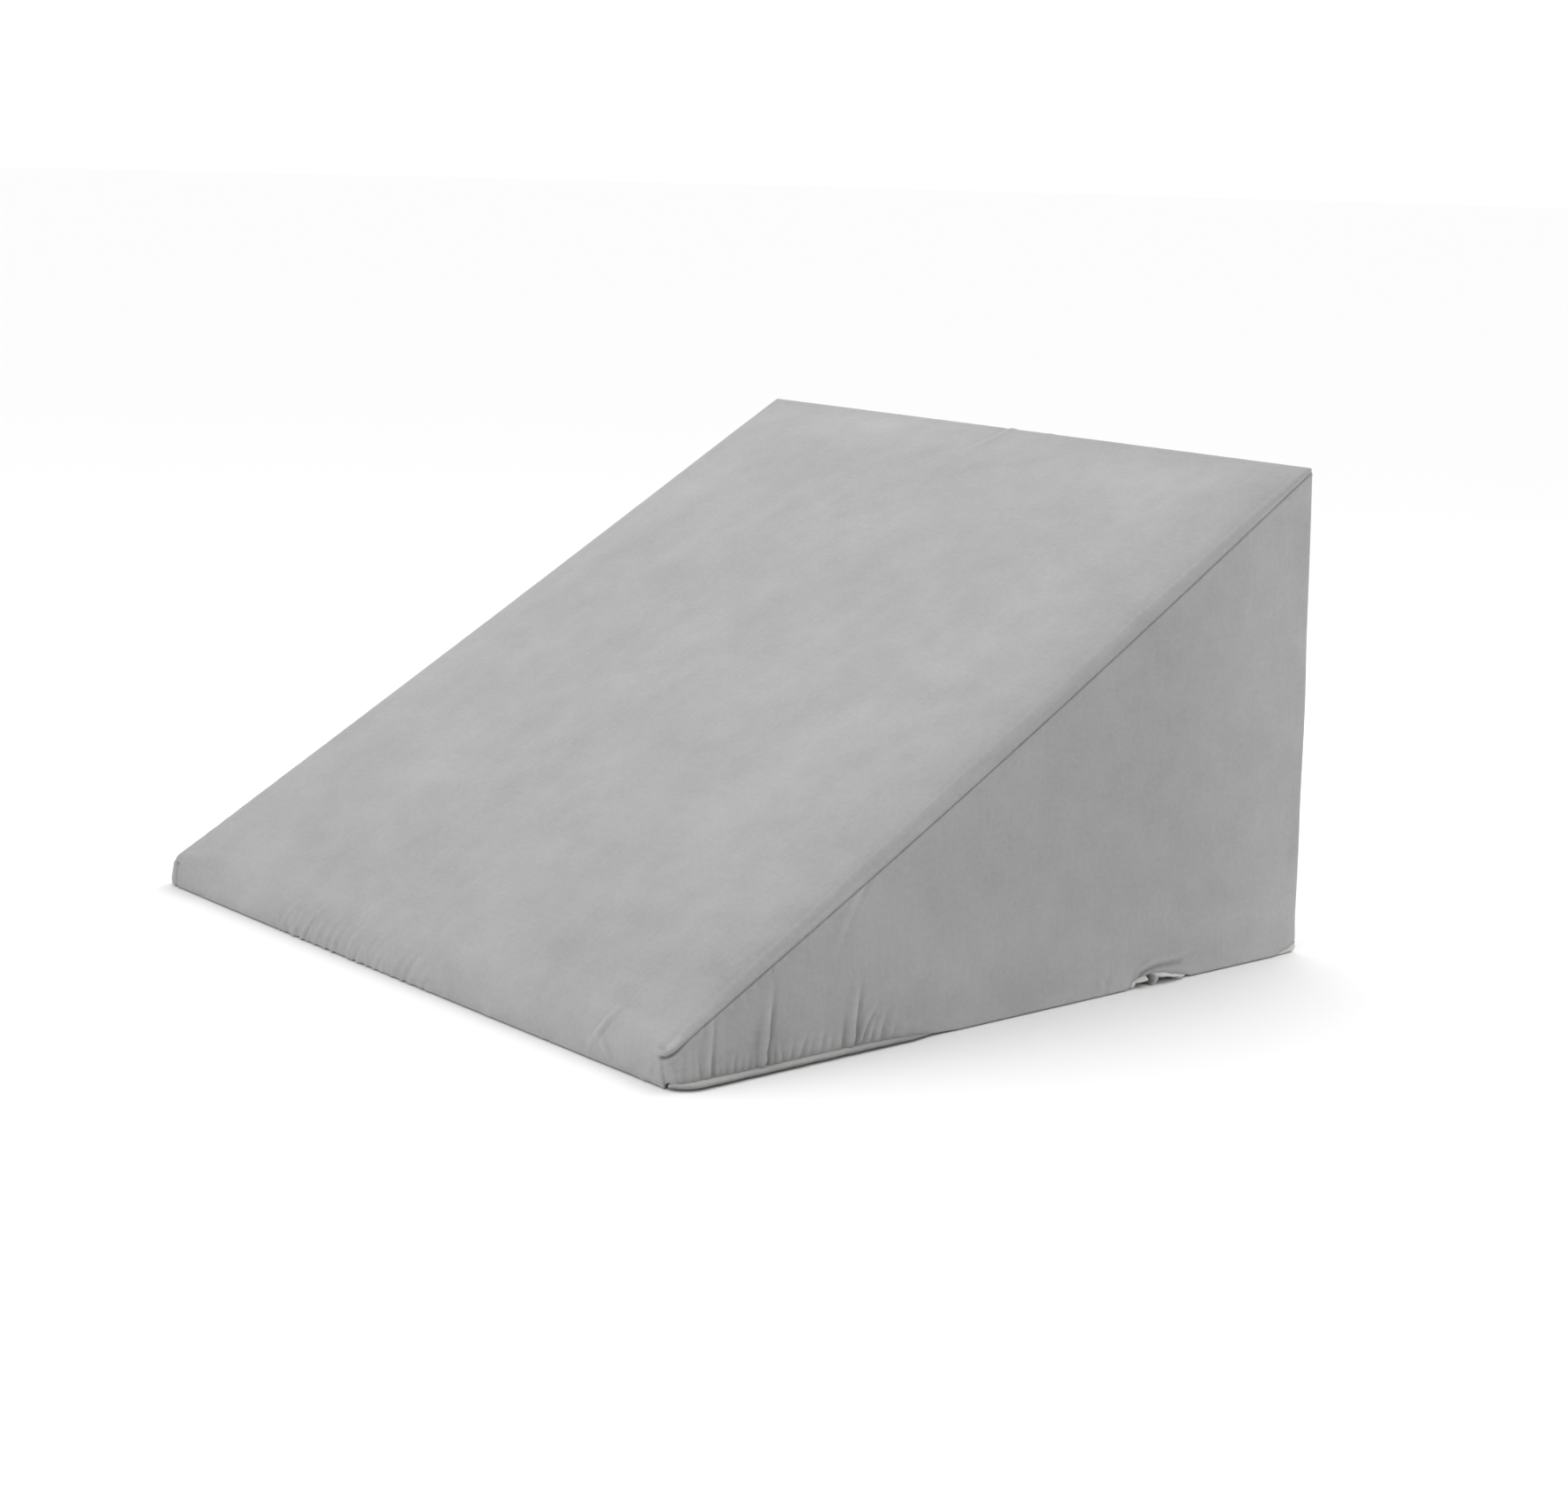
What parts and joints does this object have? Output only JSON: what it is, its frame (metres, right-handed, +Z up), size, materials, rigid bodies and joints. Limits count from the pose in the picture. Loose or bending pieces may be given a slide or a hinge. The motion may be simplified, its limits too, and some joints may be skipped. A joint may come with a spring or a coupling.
{
  "type": "wedge pillow",
  "caption": "Foam-filled wedge pillow in a plain grey cotton cover: a 30 degree slope from a thin rolled front edge up to a square high back, resting flat on its base panel.",
  "frame": {"origin": "on the floor under the middle of the pillow's box", "axes": "+X across the pillow, +Y from the low front towards the high back, +Z up"},
  "size_m": [0.6227, 0.56, 0.3411],
  "materials": {
    "cover_cloth": "matte plain-woven cotton, light grey",
    "base_cloth": "matte woven cotton, pale grey"
  },
  "bodies": {
    "root": {"wedge_cushion": "cover_cloth", "base_panel": "base_cloth"}
  },
  "joints": []
}
